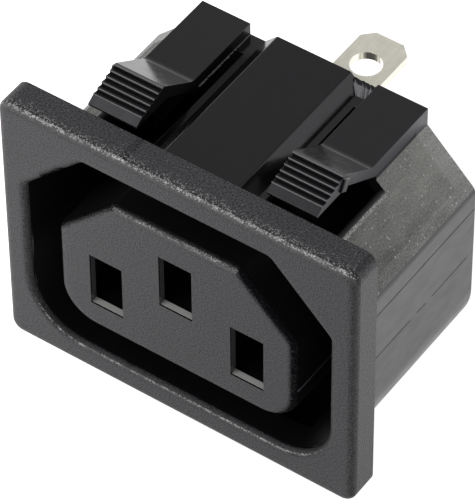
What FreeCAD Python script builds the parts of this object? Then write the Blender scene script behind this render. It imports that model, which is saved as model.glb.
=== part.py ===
import FreeCAD, Part
import math
import os
import re

import Sketcher

# Snap-in appliance outlet. X runs to the right seen from the front, Y into the panel, Z up.
# The origin is the middle of the flange's rear face, which lies on the panel.

# Driving dimensions in millimetres: name, size, what it measures
SIZES = (
    ("core_width", 23.5, "core, side to side"),
    ("core_height", 15.5, "core, bottom to top"),
    ("core_slope", 5.5, "45 degree corner of the core, one leg"),
    ("core_floor", 3.5, "radius of the core's lower corners"),
    ("trench_gap", 3.15, "trench, between core and shroud"),
    ("trench_slope", 5.8, "45 degree corner of the trench, one leg"),
    ("trench_floor", 5.2, "radius of the trench's lower corners"),
    ("shoulder", 0.8, "radius of the upper corners of trench and core"),
    ("side_wall", 1.0, "shroud's sides, outside the trench"),
    ("roof_wall", 1.45, "shroud's roof and floor, outside the trench"),
    ("slope_wall", 1.6, "shroud's slopes, outside the trench, measured level"),
    ("body_shoulder", 1.2, "radius between slope and side"),
    ("body_depth", 16.8, "shroud, panel to rear face"),
    ("back_wall", 2.2, "wall behind the trench"),
    ("flange_side", 1.5, "flange past the shroud's sides"),
    ("flange_rim", 1.3, "flange past the shroud's roof and floor"),
    ("flange_thick", 3.0, "flange, front to panel"),
    ("flange_corner", 1.2, "radius of the flange's corners"),
    ("front_edge", 0.65, "radius along the edges of the front face"),
    ("pole_pitch", 14.0, "live slot to neutral slot"),
    ("earth_rise", 4.0, "earth slot above the other two"),
    ("face_drop", 0.2, "middle of the slots below the middle of the flange"),
    ("pin_width", 2.0, "plug pin, side to side"),
    ("pin_height", 4.0, "plug pin, bottom to top"),
    ("slot_side", 0.625, "slot past the pin, each side"),
    ("slot_rise", 0.875, "slot past the pin, above and below"),
    ("face_wall", 0.75, "wall of the core's face, which the slots pierce"),
    ("rib_flat", 7.2, "flat of the roof rib"),
    ("rib_drop", 1.2, "45 degree side of the roof rib, one leg"),
    ("rib_edge", 0.3, "radius along the roof rib's edges"),
    ("rib_keel", 0.5, "thickening of the roof under the rib"),
    ("ledge_width", 0.62, "ledge beside the roof rib"),
    ("slit_width", 0.86, "slit between roof rib and snap arm"),
    ("window_gap", 0.25, "gap between snap arm and the window's outer edge"),
    ("arm_width", 4.8, "snap arm, side to side"),
    ("nose_front", 0.9, "panel to the nose of the snap arm"),
    ("nose_length", 0.7, "nose to the first tooth, front to back"),
    ("teeth_length", 2.9, "row of teeth, front to back"),
    ("ramp_length", 4.1, "ramp behind the teeth, front to back"),
    ("ramp_root", 0.7, "window's rear edge behind the foot of the ramp"),
    ("ramp_foot", 1.0, "radius at the foot of the ramp"),
    ("ramp_thick", 1.2, "ramp of the snap arm, measured upright"),
    ("belly_rise", 0.98, "underside of the toothed block above the roof"),
    ("nose_face", 0.17, "upright face of the nose"),
    ("nose_climb", 0.55, "nose's edge up to the first tooth"),
    ("teeth_climb", 0.95, "first tooth up to the crest"),
    ("crest_flat", 0.3, "blunt crest between teeth and ramp, front to back"),
    ("crest_drop", 0.08, "ramp's upper edge below the crest"),
    ("tooth_count", 5, "teeth on a snap arm"),
    ("tread_dip", 0.1, "fall of each tread back to the foot of the next tooth"),
    ("window_edge", 0.4, "radius along a window's outer edge"),
    ("nib_offset", 0.1, "nib on the arm's outer side, behind the crest"),
    ("nib_drop", 0.12, "nib's top below the ramp's upper edge"),
    ("nib_width", 0.65, "nib, front to back"),
    ("nib_height", 1.15, "nib, top to bottom"),
    ("nib_lean", 0.65, "nib's foot in front of its top"),
    ("nib_thick", 0.28, "nib, outwards from the arm"),
    ("nib_edge", 0.15, "radius along the nib's outer edges"),
    ("pin_room", 0.2, "room between pin and contact web"),
    ("pin_side", 0.75, "room between pin and channel wall"),
    ("pin_grip", 0.05, "how far each leaf reaches into the pin's space"),
    ("sheet_thick", 0.8, "sheet of the contacts"),
    ("leaf_thick", 0.5, "sprung leaves, thinned by rolling"),
    ("bend_radius", 1.0, "outer radius of the contact's folds"),
    ("base_front", 8.0, "panel to the front of the channel base"),
    ("base_length", 5.0, "channel base, front to back"),
    ("leaf_slack", 0.4, "leaf edge below the web"),
    ("grip_back", 3.6, "panel to where the leaves grip the pin"),
    ("tip_flare", 0.55, "how far the leaf tips open past the grip"),
    ("tip_gap", 3.8, "leaf tips behind the core's face wall"),
    ("lug_step", 0.175, "solder lug's edge inside the channel's side"),
    ("lug_chamfer", 1.0, "cut corners of the solder lug"),
    ("earth_reach", 11.5, "earth lug past the rear face"),
    ("pole_reach", 8.0, "live and neutral lugs past the rear face"),
    ("hole_width", 2.85, "solder hole"),
    ("hole_inset", 3.65, "solder hole from the lug's end"),
    ("lance_inset", 2.4, "free end of the retaining lance from the rear of the base"),
    ("lance_length", 2.0, "lance, front to back"),
    ("lance_width", 1.6, "lance, side to side"),
    ("lance_rise", 0.5, "lance above the web"),
    ("seat_gap", 0.1, "clearance round a contact in its chamber"),
    ("chamber_slack", 1.1, "chamber past the leaves' free edges"),
    ("cut_over", 0.4, "how far a cut runs past the wall it opens"),
)

doc = FreeCAD.newDocument("panel_socket")
sheet = doc.addObject("Spreadsheet::Sheet", "Sizes")
for row, (name, size, note) in enumerate(SIZES, 1):
    sheet.set(f"A{row}", note)
    sheet.set(f"B{row}", str(size))
    sheet.setAlias(f"B{row}", name)
doc.recompute()


def bind(feature, prop, formula):
    """Drive a property from the sheet: each word of the formula is the name of a size."""
    feature.setExpression(prop, re.sub(r"[a-z_]+", lambda word: f"Sizes.{word[0]}", formula))


def sketch_on(body, name, plane, offset=""):
    """Start a sketch on one of the body's own origin planes, moved along the plane's normal."""
    sketch = body.newObject("Sketcher::SketchObject", name)
    support = [feature for feature in body.Origin.OriginFeatures if feature.Role == plane]
    sketch.AttachmentSupport = [(support[0], "")]
    sketch.MapMode = "FlatFace"
    if offset:
        bind(sketch, "AttachmentOffset.Base.z", offset)
    return sketch


def add_loop(sketch, corners):
    """Draw a closed straight-sided loop, each corner dimensioned from the origin by two formulas."""
    first = sketch.GeometryCount
    count = len(corners)
    # The corners start out on a ring, in order, and the dimensions pull each to its place.
    turn = 2 * math.pi / count
    ring = [FreeCAD.Vector(10 * math.cos(turn * i), 10 * math.sin(turn * i), 0) for i in range(count)]
    for i in range(count):
        sketch.addGeometry(Part.LineSegment(ring[i], ring[(i + 1) % count]))
    for i, corner in enumerate(corners):
        before = first + (i - 1) % count
        sketch.addConstraint(Sketcher.Constraint("Coincident", before, 2, first + i, 1))
        for kind, rough, formula in zip(("DistanceX", "DistanceY"), ring[i], corner):
            index = sketch.addConstraint(Sketcher.Constraint(kind, -1, 1, first + i, 1, rough))
            bind(sketch, f"Constraints[{index}]", formula)


def add_box(sketch, left, right, low, high):
    """Draw a rectangle between four formulas."""
    add_loop(sketch, [(left, low), (right, low), (right, high), (left, high)])


def extrude(body, kind, name, sketch, length, reverse=False, midplane=False):
    """Pad or pocket a sketch over a length given by a formula."""
    before = body.Tip.Shape.Volume if body.Tip else 0.0
    feature = body.newObject(f"PartDesign::{kind}", name)
    feature.Profile = sketch
    bind(feature, "Length", length)
    feature.Reversed = reverse
    feature.Midplane = midplane
    doc.recompute()
    grown = feature.Shape.Volume - before
    if grown == 0 or (grown > 0) != (kind == "Pad"):
        raise RuntimeError(f"{name} changed the volume by {grown:.3f} mm3")
    return feature


def fillet(body, name, base, edges, radius):
    """Round the named edges of the last feature by a formula."""
    feature = body.newObject("PartDesign::Fillet", name)
    feature.Base = (base, edges)
    bind(feature, "Radius", radius)
    doc.recompute()
    return feature


def edges_where(feature, test):
    """Names of the edges whose end points and middle all pass a test."""
    names = []
    for number, edge in enumerate(feature.Shape.Edges, 1):
        middle = edge.valueAt((edge.FirstParameter + edge.LastParameter) / 2)
        points = [vertex.Point for vertex in edge.Vertexes] + [middle]
        if all(test(point) for point in points):
            names.append(f"Edge{number}")
    return names


def depth_edges(feature, places):
    """Names of the edges along Y at any of the places, each given across and up."""
    close = 1e-4
    return edges_where(feature, lambda p: any(abs(p.x - across) < close and abs(p.z - up) < close
                                              for across, up in places))


def corner(sketch, number):
    """Where the dimensions have put a corner of a loop: the sketch's own two coordinates."""
    point = sketch.Geometry[number].StartPoint
    return point.x, point.y


def house(width, height, slope):
    """Outline of the outlet face: flat floor, upright sides, roof with 45 degree corners."""
    side = f"{width} / 2"
    roof = f"{height} / 2"
    return [
        (f"-{side}", f"-{roof}"),
        (side, f"-{roof}"),
        (side, f"{roof} - {slope}"),
        (f"{side} - {slope}", roof),
        (f"-({side} - {slope})", roof),
        (f"-{side}", f"{roof} - {slope}"),
    ]


# Sizes that follow from the core outwards: trench, shroud, flange
TRENCH_WIDTH = "(core_width + 2 * trench_gap)"
TRENCH_HEIGHT = "(core_height + 2 * trench_gap)"
BODY_WIDTH = f"({TRENCH_WIDTH} + 2 * side_wall)"
BODY_HEIGHT = f"({TRENCH_HEIGHT} + 2 * roof_wall)"
BODY_SLOPE = "(trench_slope + side_wall + roof_wall - slope_wall)"
BODY_FLOOR = "(trench_floor + side_wall)"
FLANGE_SIDE = f"({BODY_WIDTH} / 2 + flange_side)"
FLANGE_TOP = f"({BODY_HEIGHT} / 2 + flange_rim)"

# Where the three poles sit in the face: sideways and up, and which way their webs lie
POLES = {
    "earth_contact": ("0", "earth_rise / 2 - face_drop", 1, "earth_reach"),
    "live_contact": ("-pole_pitch / 2", "-earth_rise / 2 - face_drop", -1, "pole_reach"),
    "neutral_contact": ("pole_pitch / 2", "-earth_rise / 2 - face_drop", -1, "pole_reach"),
}
WEB_TOP = "(pin_height / 2 + pin_room + sheet_thick)"
BASE_SIDE = "(pin_width / 2 + pin_side + sheet_thick)"
BASE_BACK = "(base_front + base_length)"
LANCE_BACK = f"({BASE_BACK} - lance_inset)"
LANCE_FRONT = f"({LANCE_BACK} - lance_length)"

# Across the roof, from the middle outwards: rib, ledge, slit, snap arm, slit
LEDGE_IN = "(rib_flat / 2 + rib_drop)"
SLIT_IN = f"({LEDGE_IN} + ledge_width)"
ARM_IN = f"({SLIT_IN} + slit_width)"
ARM_OUT = f"({ARM_IN} + arm_width)"
WINDOW_OUT = f"({ARM_OUT} + window_gap)"
ROOF = f"{BODY_HEIGHT} / 2"
ROOF_OUT = f"({BODY_WIDTH} / 2 - {BODY_SLOPE})"
CEILING = f"{TRENCH_HEIGHT} / 2"
CEILING_OUT = f"({TRENCH_WIDTH} / 2 - trench_slope)"

# Along a snap arm, from the nose backwards and upwards
TEETH_FRONT = "(nose_front + nose_length)"
CREST_BACK = f"({TEETH_FRONT} + teeth_length)"
CREASE_BACK = f"({CREST_BACK} + ramp_length)"
WINDOW_BACK = f"({CREASE_BACK} + ramp_root)"
NOSE_RISE = "(belly_rise + nose_face)"
TEETH_RISE = f"({NOSE_RISE} + nose_climb)"
CREST_RISE = f"({TEETH_RISE} + teeth_climb)"
RAMP_SLOPE = f"(({CREST_RISE} - crest_drop) / (ramp_length - crest_flat))"


def both_levels(corners):
    """The same loop for the roof and, turned over, for the floor."""
    return [corners, [(across, f"-({up})") for across, up in corners]]


def make_shell(body):
    """Flange, shroud, trench and core, with their rounded corners."""
    rectangle = sketch_on(body, "flange_outline", "XZ_Plane")
    add_box(rectangle, f"-{FLANGE_SIDE}", FLANGE_SIDE, f"-{FLANGE_TOP}", FLANGE_TOP)
    flange = extrude(body, "Pad", "flange", rectangle, "flange_thick")
    corners = depth_edges(flange, [corner(rectangle, number) for number in range(4)])
    fillet(body, "flange_corners", flange, corners, "flange_corner")

    outline = sketch_on(body, "shroud_outline", "XZ_Plane")
    add_loop(outline, house(BODY_WIDTH, BODY_HEIGHT, BODY_SLOPE))
    extrude(body, "Pad", "shroud", outline, "body_depth", reverse=True)
    ring = sketch_on(body, "trench_outline", "XZ_Plane", "flange_thick")
    add_loop(ring, house(TRENCH_WIDTH, TRENCH_HEIGHT, "trench_slope"))
    add_loop(ring, house("core_width", "core_height", "core_slope"))
    shell = extrude(body, "Pocket", "trench", ring, "flange_thick + body_depth - back_wall")

    # From the inside outwards, so that the wall between trench and shroud stays closed.
    rounds = (
        ("trench", ring, (0, 1), "trench_floor", (2, 3, 4, 5), "shoulder"),
        ("core", ring, (6, 7), "core_floor", (8, 9, 10, 11), "shoulder"),
        ("body", outline, (0, 1), BODY_FLOOR, (2, 5), "body_shoulder"),
    )
    for part, sketch, lower, low_radius, upper, high_radius in rounds:
        low = depth_edges(shell, [corner(sketch, number) for number in lower])
        shell = fillet(body, f"{part}_lower_corners", shell, low, low_radius)
        high = depth_edges(shell, [corner(sketch, number) for number in upper])
        shell = fillet(body, f"{part}_upper_corners", shell, high, high_radius)
    front = edges_where(shell, lambda p: abs(p.y + sheet.flange_thick) < 1e-4)
    fillet(body, "front_edges", shell, front, "front_edge")


def make_chambers(body):
    """Three slots through the core's face and the contact chambers behind them, open at the rear."""
    slots = sketch_on(body, "slot_outlines", "XZ_Plane", "flange_thick")
    chambers = sketch_on(body, "chamber_outlines", "XZ_Plane", "-body_depth")
    for across, up, turn, reach in POLES.values():
        add_box(slots, f"{across} - pin_width / 2 - slot_side", f"{across} + pin_width / 2 + slot_side",
                f"{up} - pin_height / 2 - slot_rise", f"{up} + pin_height / 2 + slot_rise")
        web_side = f"{up} + {turn} * ({WEB_TOP} + seat_gap)"
        free_side = f"{up} - {turn} * (pin_height / 2 + chamber_slack)"
        add_box(chambers, f"{across} - {BASE_SIDE} - seat_gap", f"{across} + {BASE_SIDE} + seat_gap",
                free_side, web_side)
    extrude(body, "Pocket", "slots", slots, "face_wall")
    extrude(body, "Pocket", "chambers", chambers, "body_depth + flange_thick - face_wall", reverse=True)
    for name, (across, up, turn, reach) in POLES.items():
        ceiling = f"{up} + {turn} * ({WEB_TOP} + seat_gap)"
        notch = sketch_on(body, f"{name}_notch_outline", "XY_Plane", ceiling)
        add_box(notch, f"{across} - lance_width / 2 - seat_gap", f"{across} + lance_width / 2 + seat_gap",
                LANCE_FRONT, f"{LANCE_BACK} + seat_gap")
        extrude(body, "Pocket", f"{name}_notch", notch, "lance_rise + seat_gap", reverse=turn > 0)


def make_snap_arms(body):
    """Roof rib, slits and windows, then the serrated arms over them: roof and floor, right and left."""
    keel = sketch_on(body, "keel_section", "XZ_Plane")
    for loop in both_levels([
        (f"-{SLIT_IN}", f"{CEILING} - rib_keel"),
        (SLIT_IN, f"{CEILING} - rib_keel"),
        (SLIT_IN, f"({CEILING} + {ROOF}) / 2 - rib_drop / 2"),
        (f"-{SLIT_IN}", f"({CEILING} + {ROOF}) / 2 - rib_drop / 2"),
    ]):
        add_loop(keel, loop)
    extrude(body, "Pad", "keel", keel, "body_depth - back_wall", reverse=True)

    channel = sketch_on(body, "channel_section", "XZ_Plane")
    for loop in both_levels([
        (f"{LEDGE_IN} - rib_drop - cut_over", f"{ROOF} + cut_over"),
        (LEDGE_IN, f"{ROOF} - rib_drop"),
        (ARM_IN, f"{ROOF} - rib_drop"),
        (ARM_IN, f"{ROOF} + cut_over"),
    ]):
        add_loop(channel, loop)
    channel = extrude(body, "Pocket", "channel", channel, "body_depth")

    slit = sketch_on(body, "slit_section", "XZ_Plane")
    for loop in both_levels([
        (SLIT_IN, f"{CEILING} - cut_over - rib_keel"),
        (ARM_IN, f"{CEILING} - cut_over - rib_keel"),
        (ARM_IN, f"{ROOF} + cut_over"),
        (SLIT_IN, f"{ROOF} + cut_over"),
    ]):
        add_loop(slit, loop)
    slit = extrude(body, "Pocket", "slit", slit, "body_depth - back_wall")

    window = sketch_on(body, "window_section", "XZ_Plane")
    for loop in both_levels([
        (SLIT_IN, f"{ROOF} + cut_over"),
        (SLIT_IN, f"{CEILING} - cut_over - rib_keel"),
        (CEILING_OUT, f"{CEILING} - cut_over - rib_keel"),
        (WINDOW_OUT, f"{CEILING} - cut_over - rib_keel - ({WINDOW_OUT} - {CEILING_OUT})"),
        (WINDOW_OUT, f"{ROOF} + cut_over"),
    ]):
        add_loop(window, loop)
    window = extrude(body, "Pocket", "window", window, WINDOW_BACK)
    cuts = body.newObject("PartDesign::Mirrored", "left_cuts")
    mirror_features(body, cuts, [channel, slit, window])

    land = sketch_on(body, "land_section", "XZ_Plane", "-body_depth")
    add_loop(land, [
        (ROOF_OUT, ROOF),
        (ROOF_OUT, f"{ROOF} - cut_over"),
        (ARM_OUT, f"{ROOF} - ({ARM_OUT} - {ROOF_OUT}) - cut_over"),
        (ARM_OUT, ROOF),
    ])
    add_box(land, ARM_IN, ARM_OUT, f"-{ROOF}", f"-{ROOF} + cut_over")
    land = extrude(body, "Pad", "land", land, f"body_depth - {WINDOW_BACK}")

    arm = sketch_on(body, "arm_section", "YZ_Plane", f"({ARM_IN} + {ARM_OUT}) / 2")
    for loop in both_levels(arm_profile()):
        add_loop(arm, loop)
    arm = extrude(body, "Pad", "arm", arm, "arm_width", midplane=True)
    nib = sketch_on(body, "nib_outline", "YZ_Plane", ARM_OUT)
    front = f"{CREST_BACK} + nib_offset"
    top = f"{ROOF} + {CREST_RISE} - crest_drop - nib_drop"
    fall = f"nib_width * {RAMP_SLOPE}"
    for loop in both_levels([
        (front, top),
        (f"{front} + nib_width", f"{top} - {fall}"),
        (f"{front} + nib_width - nib_lean", f"{top} - {fall} - nib_height"),
        (f"{front} - nib_lean", f"{top} - nib_height"),
    ]):
        add_loop(nib, loop)
    nib = extrude(body, "Pad", "nib", nib, "nib_thick")
    arms = body.newObject("PartDesign::Mirrored", "left_arms")
    mirror_features(body, arms, [land, arm, nib])
    soften_arm_edges(body, arms, doc.getObject("shroud_outline"), doc.getObject("window_section"))


def soften_arm_edges(body, arms, shroud, window):
    """Bend at the foot of each ramp, edges of the roof rib, of the upper windows and of the nibs."""
    close = 1e-4
    crease, roof = corner(doc.getObject("arm_section"), 1)
    feet = edges_where(arms, lambda p: abs(p.y - crease) < close and abs(abs(p.z) - roof) < close)
    softer = fillet(body, "ramp_feet", arms, feet, "ramp_foot")
    side = sheet.rib_flat / 2
    rib = depth_edges(softer, [(side, roof), (-side, roof), (side, -roof), (-side, -roof)])
    softer = fillet(body, "rib_edges", softer, rib, "rib_edge")
    window_out, above = corner(window, 3)
    slope_there = roof - (window_out - corner(shroud, 3)[0])
    outer = depth_edges(softer, [(window_out, slope_there), (-window_out, slope_there)])
    softer = fillet(body, "window_edges", softer, outer, "window_edge")
    nib_out = doc.getObject("nib_outline").Placement.Base.x + sheet.nib_thick
    rims = edges_where(softer, lambda p: abs(abs(p.x) - nib_out) < close and abs(p.z) > roof)
    fillet(body, "nib_edges", softer, rims, "nib_edge")


def mirror_features(body, mirror, originals):
    """Repeat features on the other side of the middle plane."""
    mirror.Originals = originals
    planes = [feature for feature in body.Origin.OriginFeatures if feature.Role == "YZ_Plane"]
    mirror.MirrorPlane = (planes[0], [""])
    body.Tip = mirror
    doc.recompute()


def arm_profile():
    """Side view of a snap arm: depth and height of each corner, from the root round to the underside."""
    belly_back = f"{CREST_BACK} + ({CREST_RISE} - ramp_thick - belly_rise) / {RAMP_SLOPE}"
    corners = [
        (f"{WINDOW_BACK} + cut_over", ROOF),
        (CREASE_BACK, ROOF),
        (f"{CREST_BACK} + crest_flat", f"{ROOF} + {CREST_RISE} - crest_drop"),
    ]
    # The teeth are stairs that the panel's rear edge catches on, so each tooth faces forwards.
    teeth = int(sheet.tooth_count)
    for tooth in range(teeth):
        depth = f"{CREST_BACK} - teeth_length * {tooth} / {teeth}"
        top = f"{ROOF} + {CREST_RISE} - teeth_climb * {tooth} / {teeth}"
        corners += [(depth, top), (depth, f"{top} - teeth_climb / {teeth} - tread_dip")]
    corners += [
        (TEETH_FRONT, f"{ROOF} + {TEETH_RISE}"),
        (TEETH_FRONT, f"{ROOF} + {TEETH_RISE} - tread_dip"),
        ("nose_front", f"{ROOF} + {NOSE_RISE}"),
        ("nose_front", f"{ROOF} + belly_rise"),
        (belly_back, f"{ROOF} + belly_rise"),
        (WINDOW_BACK, CEILING),
        (f"{WINDOW_BACK} + cut_over", CEILING),
    ]
    return corners


def make_contact(name):
    """One folded stamping: channel base, two sprung leaves, retaining lance and solder lug."""
    across, up, turn, reach = POLES[name]
    body = doc.addObject("PartDesign::Body", name)
    body.Label = name
    web_low = "pin_height / 2 + pin_room"
    lug_side = f"({BASE_SIDE} - lug_step)"
    lug_end = f"body_depth + {reach}"

    section = sketch_on(body, "base_section", "XZ_Plane", f"-{BASE_BACK}")
    add_loop(section, [
        (f"-{BASE_SIDE}", "-pin_height / 2"),
        (f"-({BASE_SIDE} - sheet_thick)", "-pin_height / 2"),
        (f"-({BASE_SIDE} - sheet_thick)", web_low),
        (f"{BASE_SIDE} - sheet_thick", web_low),
        (f"{BASE_SIDE} - sheet_thick", "-pin_height / 2"),
        (BASE_SIDE, "-pin_height / 2"),
        (BASE_SIDE, f"{web_low} + sheet_thick"),
        (f"-{BASE_SIDE}", f"{web_low} + sheet_thick"),
    ])
    base = extrude(body, "Pad", "base", section, "base_length")
    folds = depth_edges(base, [corner(section, number) for number in (6, 7)])
    fillet(body, "folds", base, folds, "bend_radius")

    lug = sketch_on(body, "lug_outline", "XY_Plane", web_low)
    add_loop(lug, [
        (f"-{lug_side}", BASE_BACK),
        (lug_side, BASE_BACK),
        (lug_side, f"{lug_end} - lug_chamfer"),
        (f"{lug_side} - lug_chamfer", lug_end),
        (f"-({lug_side} - lug_chamfer)", lug_end),
        (f"-{lug_side}", f"{lug_end} - lug_chamfer"),
    ])
    extrude(body, "Pad", "lug", lug, "sheet_thick")

    leaves = sketch_on(body, "leaf_outlines", "XY_Plane", "-pin_height / 2")
    for side in ("", "-"):
        add_loop(leaves, [(f"{side}({x})", y) for x, y in leaf_outline()])
    leaves = extrude(body, "Pad", "leaves", leaves, "pin_height - leaf_slack")
    bends = edges_where(leaves, lambda p: abs(p.y - sheet.grip_back) < 1e-4)
    fillet(body, "leaf_bends", leaves, bends, "bend_radius")

    lance = sketch_on(body, "lance_section", "YZ_Plane")
    add_loop(lance, [
        (LANCE_FRONT, f"{web_low} + sheet_thick"),
        (LANCE_FRONT, f"{web_low} + sheet_thick / 2"),
        (LANCE_BACK, f"{web_low} + sheet_thick / 2"),
        (LANCE_BACK, f"{web_low} + sheet_thick + lance_rise"),
    ])
    extrude(body, "Pad", "lance", lance, "lance_width", midplane=True)

    hole = sketch_on(body, "hole_outline", "XY_Plane", f"{web_low} + sheet_thick")
    hole.addGeometry(Part.Circle(FreeCAD.Vector(0, 20, 0), FreeCAD.Vector(0, 0, 1), 1))
    hole.addConstraint(Sketcher.Constraint("PointOnObject", 0, 3, -2))
    inset = hole.addConstraint(Sketcher.Constraint("DistanceY", -1, 1, 0, 3, 20))
    bind(hole, f"Constraints[{inset}]", f"{lug_end} - hole_inset")
    width = hole.addConstraint(Sketcher.Constraint("Diameter", 0, 2))
    bind(hole, f"Constraints[{width}]", "hole_width")
    extrude(body, "Pocket", "hole", hole, "sheet_thick")

    bind(body, "Placement.Base.x", across)
    bind(body, "Placement.Base.z", up)
    body.Placement.Rotation = FreeCAD.Rotation(FreeCAD.Vector(0, 1, 0), 0 if turn > 0 else 180)
    return body


def leaf_outline():
    """Top view of the right leaf, from the base's wall forward to the grip and the flared tip."""
    grip = "pin_width / 2 - pin_grip"
    root = "pin_width / 2 + pin_side"
    tip = "face_wall + tip_gap - flange_thick"
    return [
        (root, "base_front + sheet_thick"),
        (root, "base_front"),
        (grip, "grip_back"),
        (f"{grip} + tip_flare", tip),
        (f"{grip} + tip_flare + leaf_thick", tip),
        (f"{grip} + leaf_thick", "grip_back"),
        (f"{root} + leaf_thick", "base_front"),
        (f"{root} + leaf_thick", "base_front + sheet_thick"),
    ]


housing = doc.addObject("PartDesign::Body", "housing")
housing.Label = "housing"
make_shell(housing)
make_chambers(housing)
make_snap_arms(housing)
pieces = [housing] + [make_contact(name) for name in POLES]
doc.recompute()

# Nothing is written unless every feature and every piece came out sound.
for feature in doc.Objects:
    if "Invalid" in feature.State or "Error" in feature.State:
        raise RuntimeError(f"{feature.Name} failed: {feature.State}")
os.makedirs("parts", exist_ok=True)
for piece in pieces:
    shape = piece.Shape
    if shape.isNull() or not shape.isValid() or len(shape.Solids) != 1:
        raise RuntimeError(f"{piece.Label} is not one sound solid")
for piece in pieces:
    piece.Shape.exportStep(os.path.join("parts", f"{piece.Label}.step"))
    box = piece.Shape.BoundBox
    print(f"{piece.Label}: {piece.Shape.Volume:.1f} mm3, {len(piece.Shape.Faces)} faces, "
          f"{box.XLength:.2f} x {box.YLength:.2f} x {box.ZLength:.2f} mm")
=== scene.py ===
# %% [markdown]
# # A snap-in panel socket
#
# The object is an appliance outlet that is pushed into a panel from the front: a black moulding with a
# flange, a slotted core in a deep trench, serrated snap arms on the roof and three tinned solder lugs at
# the back. Its solids come ready from the CAD frame, so this lesson is about the photograph's camera, the
# light and the two finishes: moulded black plastic and tin-plated brass. The scene is in metres, and the
# materials measure in millimetres.

# %% Load the solids
import math
import random

import bpy
import bmesh
from mathutils import Matrix, Vector


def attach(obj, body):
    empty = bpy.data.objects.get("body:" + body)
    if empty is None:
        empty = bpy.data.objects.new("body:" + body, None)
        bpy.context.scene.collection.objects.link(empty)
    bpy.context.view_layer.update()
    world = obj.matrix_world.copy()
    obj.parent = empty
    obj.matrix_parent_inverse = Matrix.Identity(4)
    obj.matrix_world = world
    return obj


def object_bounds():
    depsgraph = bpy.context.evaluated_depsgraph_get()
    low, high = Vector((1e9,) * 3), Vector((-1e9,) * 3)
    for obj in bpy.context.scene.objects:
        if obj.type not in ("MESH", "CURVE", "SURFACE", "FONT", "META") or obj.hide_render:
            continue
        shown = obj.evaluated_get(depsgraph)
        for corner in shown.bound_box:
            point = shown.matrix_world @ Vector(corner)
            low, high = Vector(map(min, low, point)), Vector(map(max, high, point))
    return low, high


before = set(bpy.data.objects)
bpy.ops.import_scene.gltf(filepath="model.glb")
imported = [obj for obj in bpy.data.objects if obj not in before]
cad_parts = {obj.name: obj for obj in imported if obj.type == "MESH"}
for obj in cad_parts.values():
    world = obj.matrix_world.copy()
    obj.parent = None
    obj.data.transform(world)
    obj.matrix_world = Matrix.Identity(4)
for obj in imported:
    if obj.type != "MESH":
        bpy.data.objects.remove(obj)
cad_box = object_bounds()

MM = 0.001
print("solids:", ", ".join(sorted(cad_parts)))
print("CAD box, mm:", [[round(value / MM, 2) for value in corner] for corner in cad_box])

# %% [markdown]
# ## Camera
#
# A camera can be placed by eye, or worked out from things of known size in the picture. Here the 14 mm
# between the two lower slots gives the scale, and the edges of flange and shroud give the direction. The
# photograph was taken from far away with a long lens, so parallel edges stay nearly parallel. The camera's
# three axes are built from azimuth, elevation and a small roll, which says more than Euler angles do.

# %% Camera at the photograph's angle
AZIMUTH, ELEVATION, ROLL = (math.radians(angle) for angle in (35.477, 46.850, -0.730))
CAMERA_PLACE = (0.141986, -0.194935, 0.262084)
FOCAL_LENGTH, SENSOR_WIDTH = 332.25, 36.0
backward = Vector((math.sin(AZIMUTH) * math.cos(ELEVATION),
                   -math.cos(AZIMUTH) * math.cos(ELEVATION),
                   math.sin(ELEVATION)))
level = Vector((math.cos(AZIMUTH), math.sin(AZIMUTH), 0.0))
upright = backward.cross(level)
rightward = level * math.cos(ROLL) + upright * math.sin(ROLL)
upward = upright * math.cos(ROLL) - level * math.sin(ROLL)

lens = bpy.data.cameras.new("long_lens")
lens.sensor_fit = "HORIZONTAL"
lens.sensor_width = SENSOR_WIDTH
lens.lens = FOCAL_LENGTH
lens.shift_x, lens.shift_y = 0.02203, -0.01930
camera = bpy.data.objects.new("camera", lens)
camera.matrix_world = (Matrix.Translation(CAMERA_PLACE)
                       @ Matrix((rightward, upward, backward)).transposed().to_4x4())
scene = bpy.context.scene
scene.collection.objects.link(camera)
scene.camera = camera
print("camera stands", round(camera.location.length, 3), "m from the flange")

# %% [markdown]
# ## Colours and nodes
#
# Colours are written as sRGB hex, the way a picture editor shows them, and shaders want linear light, so
# one function turns one into the other. A second function adds a node, sets it up and links its inputs, so
# that each material below reads as a list of steps. Most nodes have one output in use, so naming the node
# is enough to link from it.

# %% Two helpers


def linear(hex_colour):
    """sRGB hex to linear RGBA."""
    parts = [int(hex_colour[i:i + 2], 16) / 255 for i in (1, 3, 5)]
    return [part / 12.92 if part <= 0.04045 else ((part + 0.055) / 1.055) ** 2.4 for part in parts] + [1.0]


def add_node(tree, kind, inputs=None, **settings):
    """Add a node. An input is a plain value, a node (its first open output) or a (node, output) pair."""
    node = tree.nodes.new(kind)
    for name, value in settings.items():
        setattr(node, name, value)
    for socket, value in (inputs or {}).items():
        if isinstance(value, bpy.types.Node):
            value = value, next(number for number, output in enumerate(value.outputs) if output.enabled)
        if isinstance(value, tuple) and isinstance(value[0], bpy.types.Node):
            tree.links.new(value[0].outputs[value[1]], node.inputs[socket])
        else:
            node.inputs[socket].default_value = value
    return node


print("mid grey #808080 is", round(linear("#808080")[0], 3), "linear")

# %% [markdown]
# ## Light table
#
# The photograph has the even white ground of a product shot: the part lies on a lit white table, inside a
# white tent that grows darker towards the top. That is why the upright faces look grey and the flat tops
# nearly black: plastic mirrors what it faces. The table is a pale floor that also glows a little, so no
# shadow shows. The tent is the world, a ramp over the height of the direction. Two soft boxes do the rest:
# a bright one at the front left lights the rounded front edges, and a weak one at the back right lifts the
# right-hand slopes.

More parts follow.
